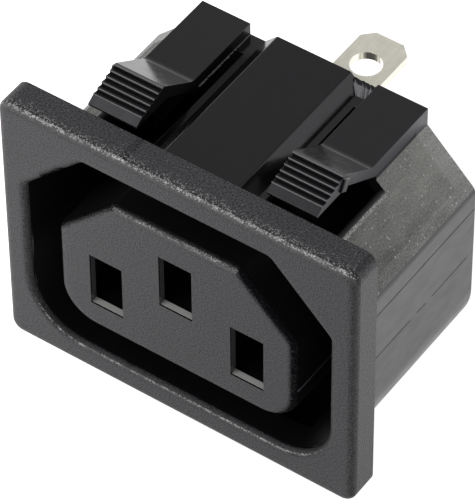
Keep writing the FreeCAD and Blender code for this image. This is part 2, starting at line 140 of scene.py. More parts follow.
# %% White table
TABLE_REACH, TABLE_GAP = 3.0, 0.05 * MM
low = cad_box[0]
table_mesh = bpy.data.meshes.new("light_table")
corners = [(x * TABLE_REACH, y * TABLE_REACH, 0) for x, y in ((-1, -1), (1, -1), (1, 1), (-1, 1))]
table_mesh.from_pydata(corners, [], [(0, 1, 2, 3)])
table = bpy.data.objects.new("light_table", table_mesh)
table.location.z = low[2] - TABLE_GAP
scene.collection.objects.link(table)
print("table at z =", round(table.location.z / MM, 2), "mm")

# %% Lit white acrylic


def new_material(name):
    """A material with an empty node tree."""
    material = bpy.data.materials.new(name)
    material.use_nodes = True
    material.node_tree.nodes.clear()
    return material


# Matt acrylic lit from below gives an even white without a shadow. Its glow carries painted shade: it is
# lowest under the part's middle at x = 5 mm and grows to the left and right, but not at the front right,
# where a painted shadow of the photographer lies.
WHITE_ACRYLIC, LAMP_WHITE = "#5c5c5b", "#ffffff"
SHADE_MIDDLE, SHADE_REACH = 5 * MM, 28 * MM
acrylic = new_material("lit_white_acrylic")
tree = acrylic.node_tree
coords = add_node(tree, "ShaderNodeTexCoord")
on_table = add_node(tree, "ShaderNodeSeparateXYZ", {"Vector": (coords, "Object")})
away = add_node(tree, "ShaderNodeMath", {0: (on_table, "X"), 1: SHADE_MIDDLE}, operation="SUBTRACT")
to_right = add_node(tree, "ShaderNodeMath", {0: away, 1: 0.0}, operation="GREATER_THAN")
to_front = add_node(tree, "ShaderNodeMapRange", {"Value": (on_table, "Y"), "From Min": 4 * MM,
                                                "From Max": -12 * MM})
# Painted shadow of the photographer: the front right of the table glows less.
painted_photographer_shadow = add_node(tree, "ShaderNodeMath", {0: to_right, 1: to_front}, operation="MULTIPLY")
lit = add_node(tree, "ShaderNodeMath", {0: 1.0, 1: painted_photographer_shadow}, operation="SUBTRACT")
far_off = add_node(tree, "ShaderNodeMath", {0: away, 1: away}, operation="MULTIPLY")
far_off = add_node(tree, "ShaderNodeMath", {0: far_off, 1: lit}, operation="MULTIPLY")
glow_with_painted_shade = add_node(tree, "ShaderNodeMapRange", {"Value": far_off, "From Max": SHADE_REACH ** 2,
                                            "To Min": 0.955, "To Max": 1.48})
shader = add_node(tree, "ShaderNodeBsdfPrincipled", {
    "Base Color": linear(WHITE_ACRYLIC), "Roughness": 0.8,
    "Emission Color": linear(LAMP_WHITE), "Emission Strength": glow_with_painted_shade})
add_node(tree, "ShaderNodeOutputMaterial", {"Surface": shader})
table_mesh.materials.append(acrylic)
print("table made of", acrylic.name)

# %% Tent


def set_stops(ramp, stops):
    """Give a colour ramp its stops, as (position, grey) pairs; it has two to begin with."""
    for number, (position, grey) in enumerate(stops):
        if number >= 2:
            ramp.elements.new(position)
        ramp.elements[number].position = position
        ramp.elements[number].color = (grey, grey, grey, 1.0)


# Each stop is a height of the direction and the grey there.
TENT_GREYS = ((0.05, 0.95), (0.40, 0.68), (0.72, 0.455), (1.0, 0.435))
scene.view_settings.view_transform = "Standard"
tent = bpy.data.worlds.new("tent")
scene.world = tent
tent.use_nodes = True
tree = tent.node_tree
tree.nodes.clear()
direction = add_node(tree, "ShaderNodeTexCoord")
height = add_node(tree, "ShaderNodeSeparateXYZ", {"Vector": (direction, "Generated")})
shade = add_node(tree, "ShaderNodeValToRGB", {"Fac": (height, "Z")})
set_stops(shade.color_ramp, TENT_GREYS)
sky = add_node(tree, "ShaderNodeBackground", {"Color": shade, "Strength": 1.0})
add_node(tree, "ShaderNodeOutputWorld", {"Surface": sky})
print("tent from", TENT_GREYS[0][1], "at the table to", TENT_GREYS[-1][1], "overhead")

# %% Soft boxes


def soft_box(name, towards, distance, width, brightness):
    """A square area light that faces the part; the white table has a brightness of about 1."""
    lamp = bpy.data.lights.new(name, "AREA")
    lamp.size = width
    lamp.energy = brightness * math.pi * width ** 2
    box = bpy.data.objects.new(name, lamp)
    box.location = Vector(towards).normalized() * distance
    box.rotation_euler = Vector(towards).to_track_quat("Z", "Y").to_euler()
    scene.collection.objects.link(box)
    print(name, "is", round(math.degrees(2 * math.atan(width / 2 / distance))), "degrees wide")


soft_box("front_left_box", towards=(-0.40, -0.66, 0.63), distance=0.60, width=0.36, brightness=2.95)
soft_box("back_right_box", towards=(0.73, 0.557, 0.45), distance=0.60, width=0.30, brightness=0.45)

# %% [markdown]
# ## Moulded black polyamide
#
# The housing is glass-filled polyamide, injection moulded. The steel mould was spark-eroded where the
# flange and the slopes are, which leaves a fine matt grain, and left smooth for the roof, the snap arms and
# the sides. To the eye the first are dull charcoal with pale specks, and the second mirror the tent. One
# solid carries all of it, so one material tells the areas apart by place and by the way a face looks. The
# same could be done with several material slots, but then the CAD mesh would need changing.
#
# An area is a node that gives 1 inside it and 0 outside. Areas are multiplied where both must hold, and the
# larger one is taken where one is enough.

# %% Places and directions
# A place is in millimetres from the middle of the panel plane: x across, y into the panel, z up. A
# direction is the way a face looks, from -1 to 1 along each of these.
plastic = new_material("moulded_black_polyamide")
tree = plastic.node_tree
coords = add_node(tree, "ShaderNodeTexCoord")
geometry = add_node(tree, "ShaderNodeNewGeometry")
place = add_node(tree, "ShaderNodeVectorMath", {0: (coords, "Object"), "Scale": 1 / MM}, operation="SCALE")
at = add_node(tree, "ShaderNodeSeparateXYZ", {"Vector": place})
facing = add_node(tree, "ShaderNodeSeparateXYZ", {"Vector": (geometry, "Normal")})
side_on = add_node(tree, "ShaderNodeMath", {0: (facing, "X")}, operation="ABSOLUTE")
off_middle = add_node(tree, "ShaderNodeMath", {0: (at, "X")}, operation="ABSOLUTE")
off_level = add_node(tree, "ShaderNodeMath", {0: (at, "Z")}, operation="ABSOLUTE")
print("the front face is at y =", round(low[1] / MM, 2), "mm")

# %% Flange
# The flange lies in front of the panel plane. Its grain ends where the trench begins, and covers what looks
# forwards.
PANEL_PLANE, TRENCH_SIDE, TRENCH_TOP = 0.02, 15.2, 11.2
LOOKS_FORWARD = -0.25
across = add_node(tree, "ShaderNodeMath", {0: off_middle, 1: TRENCH_SIDE}, operation="GREATER_THAN")
above = add_node(tree, "ShaderNodeMath", {0: off_level, 1: TRENCH_TOP}, operation="GREATER_THAN")
forward = add_node(tree, "ShaderNodeMath", {0: (facing, "Y"), 1: LOOKS_FORWARD}, operation="LESS_THAN")
in_front = add_node(tree, "ShaderNodeMath", {0: (at, "Y"), 1: PANEL_PLANE}, operation="LESS_THAN")
rim = add_node(tree, "ShaderNodeMath", {0: across, 1: above}, operation="MAXIMUM")
rim = add_node(tree, "ShaderNodeMath", {0: rim, 1: forward}, operation="MAXIMUM")
flange = add_node(tree, "ShaderNodeMath", {0: rim, 1: in_front}, operation="MULTIPLY")
print("the trench begins", TRENCH_SIDE, "mm from the middle")

# %% Slopes and sides
# A slope looks outwards and up in equal parts, so the product of the two is 0.5 there, and fades out over
# its rounded edges. |x| + z is 21.6 mm all over it, and less than the limit inside the shroud.
SLOPE_LIMIT, UPRIGHT = 18.0, 0.9
behind = add_node(tree, "ShaderNodeMath", {0: (at, "Y"), 1: PANEL_PLANE}, operation="GREATER_THAN")
half = add_node(tree, "ShaderNodeMath", {0: (at, "X")}, operation="SIGN")
outward = add_node(tree, "ShaderNodeMath", {0: half, 1: (facing, "X")}, operation="MULTIPLY")
slanted = add_node(tree, "ShaderNodeMath", {0: outward, 1: (facing, "Z")}, operation="MULTIPLY")
slanted = add_node(tree, "ShaderNodeMapRange", {"Value": slanted, "From Min": 0.36, "From Max": 0.499})
outline = add_node(tree, "ShaderNodeMath", {0: off_middle, 1: (at, "Z")}, operation="ADD")
outside = add_node(tree, "ShaderNodeMath", {0: outline, 1: SLOPE_LIMIT}, operation="GREATER_THAN")
slope = add_node(tree, "ShaderNodeMath", {0: slanted, 1: outside}, operation="MULTIPLY")
slope = add_node(tree, "ShaderNodeMath", {0: slope, 1: behind}, operation="MULTIPLY")
grained = add_node(tree, "ShaderNodeMath", {0: flange, 1: slope}, operation="MAXIMUM")
# The sides of the shroud look sideways, behind the flange.
upright_side = add_node(tree, "ShaderNodeMath", {0: side_on, 1: UPRIGHT}, operation="GREATER_THAN")
side = add_node(tree, "ShaderNodeMath", {0: upright_side, 1: behind}, operation="MULTIPLY")
print("grained: flange and slopes; smooth: sides, roof and arms")

# %% Front edges
# Rounded front edges lie between the front face and the faces beside it, in the first 0.67 mm.
EDGE_END = -2.33
turning = add_node(tree, "ShaderNodeMapRange", {"Value": (facing, "Y"), "From Min": -0.97,
                                               "From Max": -0.80})
near_front = add_node(tree, "ShaderNodeMath", {0: (at, "Y"), 1: EDGE_END}, operation="LESS_THAN")
front_edge = add_node(tree, "ShaderNodeMath", {0: turning, 1: near_front}, operation="MULTIPLY")
front_edge = add_node(tree, "ShaderNodeMath", {0: front_edge, 1: forward}, operation="MULTIPLY")
print("front edges", round(EDGE_END - low[1] / MM, 2), "mm deep")

# %% Inside and core
# Inside the shroud: trench, chambers and what shows through the windows, from y = -2.35 to 15.15 mm.
INSIDE_SIDE, INSIDE_TOP = 15.0, 11.0
inner = add_node(tree, "ShaderNodeMath", {0: off_middle, 1: INSIDE_SIDE}, operation="LESS_THAN")
low_enough = add_node(tree, "ShaderNodeMath", {0: off_level, 1: INSIDE_TOP}, operation="LESS_THAN")
deep = add_node(tree, "ShaderNodeMath", {0: (at, "Y"), 1: 6.4, 2: 8.75}, operation="COMPARE")
for area in (low_enough, deep):
    inner = add_node(tree, "ShaderNodeMath", {0: inner, 1: area}, operation="MULTIPLY")
# The core stands in the middle of the trench; these limits run between it and the trench's outer wall.
CORE_SIDE, CORE_TOP = 13.4, 9.4
core = add_node(tree, "ShaderNodeMath", {0: off_middle, 1: CORE_SIDE}, operation="LESS_THAN")
core_level = add_node(tree, "ShaderNodeMath", {0: off_level, 1: CORE_TOP}, operation="LESS_THAN")
core = add_node(tree, "ShaderNodeMath", {0: core, 1: core_level}, operation="MULTIPLY")
core_edge = add_node(tree, "ShaderNodeMath", {0: core, 1: front_edge}, operation="MULTIPLY")
print("core within", CORE_SIDE, "mm of the middle")

# %% [markdown]
# ### Lips and teeth
#
# Plug pins slide over the lips of the slots, and the edge of the panel scrapes along the teeth of the snap
# arms when the socket is pushed in. Their pale colours below are painted light, where these faces catch the
# light from the front. Each of these faces could be picked out in the CAD model. Marking them by place
# keeps the solids free of borders that only the colour needs.

# %% Slot lips
# Just behind the face, the lower lip of each slot looks up and its left one looks right.
LIP_MIDDLE, LIP_HALF = -2.55, 0.30
SLOTS_TOP, SLOTS_SIDE = 6.0, 9.0
lip_deep = add_node(tree, "ShaderNodeMath", {0: (at, "Y"), 1: LIP_MIDDLE, 2: LIP_HALF}, operation="COMPARE")
lip_room = add_node(tree, "ShaderNodeMath", {0: off_level, 1: SLOTS_TOP}, operation="LESS_THAN")
lip_near = add_node(tree, "ShaderNodeMath", {0: off_middle, 1: SLOTS_SIDE}, operation="LESS_THAN")
lip_deep = add_node(tree, "ShaderNodeMath", {0: lip_deep, 1: lip_room}, operation="MULTIPLY")
facing_up = add_node(tree, "ShaderNodeMath", {0: (facing, "Z"), 1: UPRIGHT}, operation="GREATER_THAN")
facing_right = add_node(tree, "ShaderNodeMath", {0: (facing, "X"), 1: UPRIGHT}, operation="GREATER_THAN")
lower_lip = add_node(tree, "ShaderNodeMath", {0: facing_up, 1: lip_deep}, operation="MULTIPLY")
left_lip = add_node(tree, "ShaderNodeMath", {0: facing_right, 1: lip_deep}, operation="MULTIPLY")
left_lip = add_node(tree, "ShaderNodeMath", {0: left_lip, 1: lip_near}, operation="MULTIPLY")
print("lips end at y =", round(LIP_MIDDLE + LIP_HALF, 2), "mm")

# %% Teeth of the snap arms
# Five treads climb backwards from y = 1.6 to 4.5 mm. The front tenth of each tread is its edge.
TREAD, FIRST_EDGE, LAST_EDGE, ARM_LEVEL = 0.58, 1.6, 4.5, 13.5
tread_room = add_node(tree, "ShaderNodeMath", {0: (at, "Y"), 1: 3.05, 2: 1.48}, operation="COMPARE")
raised = add_node(tree, "ShaderNodeMath", {0: off_level, 1: ARM_LEVEL}, operation="GREATER_THAN")
flat = add_node(tree, "ShaderNodeMath", {0: side_on, 1: 0.5}, operation="LESS_THAN")
raised = add_node(tree, "ShaderNodeMath", {0: raised, 1: flat}, operation="MULTIPLY")
tread = add_node(tree, "ShaderNodeMath", {0: tread_room, 1: raised}, operation="MULTIPLY")
count = add_node(tree, "ShaderNodeMapRange", {"Value": (at, "Y"), "From Min": LAST_EDGE,
                                             "From Max": LAST_EDGE - TREAD}, clamp=False)
count = add_node(tree, "ShaderNodeMath", {0: count}, operation="FRACT")
tread_edge = add_node(tree, "ShaderNodeMath", {0: count, 1: 0.90}, operation="GREATER_THAN")
print(round((LAST_EDGE - FIRST_EDGE) / TREAD), "treads on each arm")

# %% Edges of the teeth
# On the upright front of a tooth, the edge is the top 0.13 mm; the edges climb from z = 14.05 to 15 mm.
EDGE_HEIGHT, FIRST_LEVEL, LAST_LEVEL = 0.13, 14.05, 15.0
riser = add_node(tree, "ShaderNodeMath", {0: (facing, "Y"), 1: -0.7}, operation="LESS_THAN")
climb = add_node(tree, "ShaderNodeMapRange", {
    "Value": (at, "Y"), "From Min": FIRST_EDGE, "From Max": LAST_EDGE,
    "To Min": FIRST_LEVEL - EDGE_HEIGHT, "To Max": LAST_LEVEL - EDGE_HEIGHT})
riser_top = add_node(tree, "ShaderNodeMath", {0: off_level, 1: climb}, operation="GREATER_THAN")
# These tooth edges get a painted highlight, where the rounded edge catches the light.
tooth_highlight = add_node(tree, "ShaderNodeMix", {"Factor": riser, "A": tread_edge, "B": riser_top})
tooth_highlight = add_node(tree, "ShaderNodeMath", {0: tooth_highlight, 1: tread}, operation="MULTIPLY")
# The nose lies in front of the treads, and the crest behind them gets a third as much painted highlight.
nose = add_node(tree, "ShaderNodeMath", {0: (at, "Y"), 1: 1.22, 2: 0.36}, operation="COMPARE")
nose = add_node(tree, "ShaderNodeMath", {0: nose, 1: raised}, operation="MULTIPLY")
crest = add_node(tree, "ShaderNodeMath", {0: (at, "Y"), 1: 4.62, 2: 0.10}, operation="COMPARE")
crest = add_node(tree, "ShaderNodeMath", {0: crest, 1: raised}, operation="MULTIPLY")
crest = add_node(tree, "ShaderNodeMath", {0: crest, 1: 0.35}, operation="MULTIPLY")
tooth_highlight = add_node(tree, "ShaderNodeMath", {0: crest, 1: tooth_highlight}, operation="MAXIMUM")
print("tooth edges", EDGE_HEIGHT, "mm high")

# %% [markdown]
# ### Grain and gloss
#
# A spark-eroded mould prints shallow craters about 0.12 mm wide. A bump alone nearly vanishes in soft
# light, so the peaks of the craters are also painted a little paler: painted light and shade of the grain.
# The smooth areas owe their look to gloss alone, so places that are dull get less of it. A picture of the
# grain could be laid on instead, but noise fits every face without unwrapping.

# %% Grain
# The grain is drawn at 0.15 mm, one and a half pixels of the picture, so that it shows.
GRAIN, GRAIN_DEPTH = 0.15, 0.16
grit = add_node(tree, "ShaderNodeTexNoise", {"Vector": place, "Scale": 1 / GRAIN, "Detail": 2.0,
                                            "Roughness": 0.6})
peaks = add_node(tree, "ShaderNodeMapRange", {"Value": grit, "From Min": 0.36, "From Max": 0.66})
specks = add_node(tree, "ShaderNodeMapRange", {"Value": grit, "From Min": 0.36, "From Max": 0.72})
bite = add_node(tree, "ShaderNodeMapRange", {"Value": grained, "To Min": 0.006, "To Max": 0.5})
print("grain drawn at", GRAIN, "mm")

# %% Rounded edges
# Mould edges are rounded by 0.05 mm; the front was blasted, which rounds it more, but not at the slots. The
# slots' zone keeps clear of the core's slanted corners. The Bevel node bends the shading only, so the mesh
# stays as it is.
MOULD_EDGE, BLASTED_EDGE = 0.05, 0.8
ZONE_SIDE, ZONE_SLANT = 9.2, 11.8
slot_zone = add_node(tree, "ShaderNodeMath", {0: off_middle, 1: ZONE_SIDE}, operation="LESS_THAN")
below_slant = add_node(tree, "ShaderNodeMath", {0: outline, 1: ZONE_SLANT}, operation="LESS_THAN")
for area in (lip_room, below_slant):
    slot_zone = add_node(tree, "ShaderNodeMath", {0: slot_zone, 1: area}, operation="MULTIPLY")
blasted = add_node(tree, "ShaderNodeMath", {0: near_front, 1: slot_zone}, operation="SUBTRACT")
rounding = add_node(tree, "ShaderNodeMapRange", {"Value": blasted, "To Min": MOULD_EDGE * MM,
                                                "To Max": BLASTED_EDGE * MM})
soft_edge = add_node(tree, "ShaderNodeBevel", {"Radius": rounding}, samples=8)
bump = add_node(tree, "ShaderNodeBump", {"Height": grit, "Strength": bite, "Distance": GRAIN_DEPTH * MM,
                                        "Normal": soft_edge})
print("edges shaded as", MOULD_EDGE, "mm round, blasted ones as", BLASTED_EDGE, "mm")

# %% Roughness
# Flow marks run with the plastic, from front to back, about 2 mm long, and cloud the gloss of the smooth
# areas.
FLOW = (1.1, 0.45, 1.1)
along_flow = add_node(tree, "ShaderNodeVectorMath", {0: place, 1: FLOW}, operation="MULTIPLY")
flow = add_node(tree, "ShaderNodeTexNoise", {"Vector": along_flow, "Scale": 1.0, "Detail": 3.0})
cloudy = add_node(tree, "ShaderNodeMapRange", {"Value": flow, "From Min": 0.3, "From Max": 0.7,
                                              "To Min": 0.12, "To Max": 0.22})
roughness = add_node(tree, "ShaderNodeMix", {"Factor": grained, "A": cloudy, "B": 0.45})
# The sides were drawn along the steel as the mould opened, and the trench was never polished.
side_drag = add_node(tree, "ShaderNodeMapRange", {"Value": side, "To Min": 0.0, "To Max": 0.16})
roughness = add_node(tree, "ShaderNodeMath", {0: roughness, 1: side_drag}, operation="ADD")
roughness = add_node(tree, "ShaderNodeMath", {0: inner, 1: 0.4, 2: roughness}, operation="MULTIPLY_ADD")
print("flow marks about", round(1 / FLOW[1], 1), "mm long")

# %% Painted shade on edges
# The rounded front edges are painted smooth black, painted shade without grain. So are the edges that turn
# right, further in and most on core and trench, and the core's left edges.
bent = add_node(tree, "ShaderNodeSeparateXYZ", {"Vector": soft_edge})
turned = add_node(tree, "ShaderNodeMapRange", {"Value": (bent, "X"), "From Min": 0.03, "From Max": 0.38})
left_turned = add_node(tree, "ShaderNodeMapRange", {"Value": (facing, "X"), "From Min": -0.40,
                                                   "From Max": -0.60})
left_turned = add_node(tree, "ShaderNodeMath", {0: left_turned, 1: core}, operation="MULTIPLY")
turned = add_node(tree, "ShaderNodeMath", {0: turned, 1: left_turned}, operation="MAXIMUM")
most_on_core = add_node(tree, "ShaderNodeMapRange", {"Value": core, "To Min": 0.3, "To Max": 1.0})
for area in (blasted, most_on_core):
    turned = add_node(tree, "ShaderNodeMath", {0: turned, 1: area}, operation="MULTIPLY")
painted_edge_shade = add_node(tree, "ShaderNodeMath", {0: front_edge, 1: turned}, operation="MAXIMUM")
print("edges of core and trench rubbed bare")

# %% Rib, ledge and arm sides
# The rib runs along the middle of the roof. A ledge lies left of it, and the arms have upright outer sides.
RIB_SIDE, LEDGE_MIDDLE, ARM_OUTSIDE = 4.9, -5.11, 11.08
rib = add_node(tree, "ShaderNodeMath", {0: off_middle, 1: RIB_SIDE}, operation="LESS_THAN")
rib = add_node(tree, "ShaderNodeMath", {0: rib, 1: behind}, operation="MULTIPLY")
rib_top = add_node(tree, "ShaderNodeMath", {0: rib, 1: facing_up}, operation="MULTIPLY")
rib_left = add_node(tree, "ShaderNodeMath", {0: (facing, "X"), 1: -0.5}, operation="LESS_THAN")
rib_left = add_node(tree, "ShaderNodeMath", {0: rib_left, 1: rib}, operation="MULTIPLY")
ledge = add_node(tree, "ShaderNodeMath", {0: (at, "X"), 1: LEDGE_MIDDLE, 2: 0.35}, operation="COMPARE")
ledge_end = add_node(tree, "ShaderNodeMapRange", {"Value": (at, "Y"), "From Min": 15.2, "From Max": 14.0})
for area in (facing_up, ledge_end):
    ledge = add_node(tree, "ShaderNodeMath", {0: ledge, 1: area}, operation="MULTIPLY")
arm_side = add_node(tree, "ShaderNodeMath", {0: off_middle, 1: ARM_OUTSIDE, 2: 0.06}, operation="COMPARE")
arm_side = add_node(tree, "ShaderNodeMath", {0: arm_side, 1: side}, operation="MULTIPLY")
print("the arms end", ARM_OUTSIDE, "mm from the middle")

# %% Shine
# The valleys of the grain shade themselves. Smooth areas have the shine of plain plastic, the inside of the
# shroud loses most of it, and each area in the list loses its share of that.
PLAIN_SHINE, SHINE_LOSS = 0.5, 0.44
dull_shares = ((tread, 0.77), (nose, 0.45), (core_edge, 0.6), (arm_side, 0.5),
               (turned, 1.0), (rib_top, 0.17), (rib_left, 0.5), (ledge, 0.6))
grain_shine = add_node(tree, "ShaderNodeMapRange", {"Value": peaks, "To Min": 0.28, "To Max": 0.56})
shine = add_node(tree, "ShaderNodeMix", {"Factor": grained, "A": PLAIN_SHINE, "B": grain_shine})
dull = inner
for area, share in dull_shares:
    part_dull = add_node(tree, "ShaderNodeMath", {0: area, 1: share}, operation="MULTIPLY")
    dull = add_node(tree, "ShaderNodeMath", {0: dull, 1: part_dull}, operation="MAXIMUM")
shine = add_node(tree, "ShaderNodeMath", {0: dull, 1: -SHINE_LOSS, 2: shine}, operation="MULTIPLY_ADD")
print(1 + len(dull_shares), "areas with less shine")

# %% [markdown]
# ### Colour
#
# The plastic is black all through, and grain and mould marks only make it paler. Light and shade on edges,
# lips and teeth are painted into the colour too, as paler and darker coats. They could be painted on a
# picture, but rules for places hold for every view. The colour is put on in coats, as a painter would:
# smooth black all over, then the grain of the flange, the slopes, and last the painted light and shade and
# what the mould has left. Each coat is an area and a colour. The cells below collect them in a list, and
# the last one mixes them in that order.

# %% Black and grain
# On the top of the flange the peaks are painted palest: painted glints of the grain where it faces up.
SMOOTH_BLACK, PAINTED_LIT_GRAIN_PEAK, PAINTED_GLINT_SPECK, ARM_SIDE_PAINTED_LIGHT = "#0e0d0f", "#2c2a2d", "#4d4c4f", "#37363a"
grain_black_and_painted_light = add_node(tree, "ShaderNodeMix", {"Factor": peaks, "A": linear(SMOOTH_BLACK),
                                              "B": linear(PAINTED_LIT_GRAIN_PEAK)}, data_type="RGBA")
painted_glints_on_top = add_node(tree, "ShaderNodeMath", {0: specks, 1: facing_up}, operation="MULTIPLY")
grain_black_and_painted_light = add_node(tree, "ShaderNodeMix", {"Factor": painted_glints_on_top, "A": grain_black_and_painted_light,
                                              "B": linear(PAINTED_GLINT_SPECK)}, data_type="RGBA")
# The outer sides of the arms get a paler grey: painted light, evenly mid-grey down to the slope.
coats = [(flange, grain_black_and_painted_light), (arm_side, linear(ARM_SIDE_PAINTED_LIGHT)), (painted_edge_shade, linear(SMOOTH_BLACK))]
print("the flange is black with pale specks on its top")

# %% Slopes
# The flow marks show most on the slope, which pales towards the rear. It is darker downhill: painted shade
# where it rounds over into the side.
SLOPE_VALLEY, SLOPE_PEAK = "#585856", "#939390"
SHROUD_DEPTH = 16.8
to_rear = add_node(tree, "ShaderNodeMapRange", {"Value": (at, "Y"), "From Min": 0.0,
                                               "From Max": SHROUD_DEPTH, "To Min": 0.0, "To Max": 0.45})
painted_shade_downhill = add_node(tree, "ShaderNodeMapRange", {"Value": off_middle, "From Min": 13.6, "From Max": 15.6,
                                                "To Max": -0.3})
pale = add_node(tree, "ShaderNodeMath", {0: flow, 1: 0.6, 2: to_rear}, operation="MULTIPLY_ADD")
pale = add_node(tree, "ShaderNodeMath", {0: peaks, 1: 0.45, 2: pale}, operation="MULTIPLY_ADD")
pale = add_node(tree, "ShaderNodeMath", {0: pale, 1: painted_shade_downhill}, operation="ADD")
pale = add_node(tree, "ShaderNodeMapRange", {"Value": pale, "From Min": 0.2, "From Max": 1.2})
slope_grey = add_node(tree, "ShaderNodeMix", {"Factor": pale, "A": linear(SLOPE_VALLEY),
                                             "B": linear(SLOPE_PEAK)}, data_type="RGBA")
coats.append((slope, slope_grey))
print("slopes from", SLOPE_VALLEY, "to", SLOPE_PEAK)

# %% Pips
# Single craters stand out as pale pips, about three in each square millimetre.
SLOPE_PIP, PIP_SPACING = "#aaaaa7", 0.55
pips = add_node(tree, "ShaderNodeTexVoronoi", {"Vector": place, "Scale": 1 / PIP_SPACING})
pips = add_node(tree, "ShaderNodeMapRange", {"Value": pips, "From Min": 0.20, "From Max": 0.08})
pips = add_node(tree, "ShaderNodeMath", {0: pips, 1: slope}, operation="MULTIPLY")
coats.append((pips, linear(SLOPE_PIP)))
print("pips", PIP_SPACING, "mm apart")

# %% Window lips
# The rounded lip of each upper window lies 11.4 to 12.03 mm from the middle. Its grey is painted shading
# of the curve: lit at the outer edge, it grows dark inwards.
PAINTED_LIP_GREY, WINDOW_REAR = "#48484a", 9.3
painted_lip_shading = add_node(tree, "ShaderNodeMapRange", {"Value": off_middle, "From Min": 11.35, "From Max": 12.0})
beside = add_node(tree, "ShaderNodeMath", {0: (at, "Y"), 1: WINDOW_REAR}, operation="LESS_THAN")
on_lip = add_node(tree, "ShaderNodeMath", {0: off_middle, 1: 12.03}, operation="LESS_THAN")
lip_level = add_node(tree, "ShaderNodeMath", {0: (at, "Z"), 1: 9.6, 2: 0.7}, operation="COMPARE")
for area in (on_lip, lip_level, behind, beside):
    painted_lip_shading = add_node(tree, "ShaderNodeMath", {0: painted_lip_shading, 1: area}, operation="MULTIPLY")
coats.append((painted_lip_shading, linear(PAINTED_LIP_GREY)))
print("window lips end at y =", WINDOW_REAR, "mm")

# %% [markdown]
# ### Painted highlights
#
# Rounded edges that face the bright light catch a line of it, and this line is painted pale: a painted
# highlight. A pointiness input would find edges by itself, but what it finds depends on how finely the mesh
# is cut. Here the way a rounded edge looks picks out the line along it that faces the light, and the grain
# breaks that line up.

# %% Painted highlight lines
# Edges that look up and forwards get a painted highlight, most where they have turned up by 52 degrees on
# the flange and by 39 degrees on the core. The limits are cosines of the angle to that direction.
highlight_lines = []
for degrees, faint, full in ((52, 0.972, 0.994), (39, 0.955, 0.99)):
    turn = math.radians(degrees)
    brightest_facing = (0.0, -round(math.cos(turn), 3), round(math.sin(turn), 3))
    close_to = add_node(tree, "ShaderNodeVectorMath", {0: (geometry, "Normal"), 1: brightest_facing},
                        operation="DOT_PRODUCT")
    highlight_lines.append(add_node(tree, "ShaderNodeMapRange", {"Value": close_to, "From Min": faint,
                                                             "From Max": full}))
painted_highlight = add_node(tree, "ShaderNodeMix", {"Factor": core, "A": highlight_lines[0], "B": highlight_lines[1]})
print(len(highlight_lines), "kinds of rubbed lines")

# %% Trench mouth and window edge
# The painted highlight on the lower lip of the trench lies further out, where it has turned by about 29
# degrees: ny is -0.87.
mouth = add_node(tree, "ShaderNodeMath", {0: (facing, "Y"), 1: -0.87, 2: 0.07}, operation="COMPARE")
lifted = add_node(tree, "ShaderNodeMapRange", {"Value": (facing, "Z"), "From Min": 0.2, "From Max": 0.45,
                                              "To Max": 0.6})
mouth = add_node(tree, "ShaderNodeMath", {0: mouth, 1: lifted}, operation="MULTIPLY")
beneath = add_node(tree, "ShaderNodeMath", {0: (at, "Z"), 1: -6.0}, operation="LESS_THAN")
painted_highlight = add_node(tree, "ShaderNodeMix", {"Factor": beneath, "A": painted_highlight, "B": mouth})
painted_highlight = add_node(tree, "ShaderNodeMath", {0: painted_highlight, 1: near_front}, operation="MULTIPLY")
# The slope along the window's edge, 12.0 to 12.2 mm from the middle, gets a painted highlight too.
brink = add_node(tree, "ShaderNodeMath", {0: off_middle, 1: 12.1, 2: 0.13}, operation="COMPARE")
for area in (slope, beside):
    brink = add_node(tree, "ShaderNodeMath", {0: brink, 1: area}, operation="MULTIPLY")
painted_highlight = add_node(tree, "ShaderNodeMath", {0: painted_highlight, 1: brink}, operation="MAXIMUM")
print("trench mouth and window edge rubbed too")

# %% Specks in the lines
# The lines break up into the peaks of the grain, come and go along the edge, and are weaker on the core.
# Grey of the painted highlights.
EDGE_HIGHLIGHT_GREY = "#e2e2e0"
dots = add_node(tree, "ShaderNodeMapRange", {"Value": grit, "From Min": 0.38, "From Max": 0.64})
patchy = add_node(tree, "ShaderNodeMapRange", {"Value": flow, "From Min": 0.35, "From Max": 0.6,
                                              "To Min": 0.2, "To Max": 1.0})
weaker = add_node(tree, "ShaderNodeMapRange", {"Value": core, "To Min": 0.70, "To Max": 0.46})
for area in (dots, patchy, weaker):
    painted_highlight = add_node(tree, "ShaderNodeMath", {0: painted_highlight, 1: area}, operation="MULTIPLY")
print("edges rubbed to", EDGE_HIGHLIGHT_GREY)

# %% Painted light in front of the lines
# In front of the lines the edges get an even painted light: on the flange all along, on the core only where
# they are level. A row gives the areas, the upward tilts over which this light grows, how strong it gets,
# and the forward tilts over which it sets in.
level_edge = add_node(tree, "ShaderNodeMapRange", {"Value": side_on, "From Min": 0.12, "From Max": 0.03})
for areas, tilt, strength, lean in (((above, near_front), (0.05, 0.55), 0.08, (-0.30, -0.65)),
                                    ((core, near_front, level_edge), (0.02, 0.45), 0.09, (-0.45, -0.80))):
    painted_edge_light = add_node(tree, "ShaderNodeMapRange", {"Value": (facing, "Z"), "From Min": tilt[0],
                                                   "From Max": tilt[1], "To Max": strength})
    before_line = add_node(tree, "ShaderNodeMapRange", {"Value": (facing, "Y"), "From Min": lean[0],
                                                       "From Max": lean[1]})
    for area in (*areas, before_line):
        painted_edge_light = add_node(tree, "ShaderNodeMath", {0: painted_edge_light, 1: area}, operation="MULTIPLY")
    painted_highlight = add_node(tree, "ShaderNodeMath", {0: painted_highlight, 1: painted_edge_light}, operation="MAXIMUM")
coats.append((painted_highlight, linear(EDGE_HIGHLIGHT_GREY)))
print("flange and core scuffed")

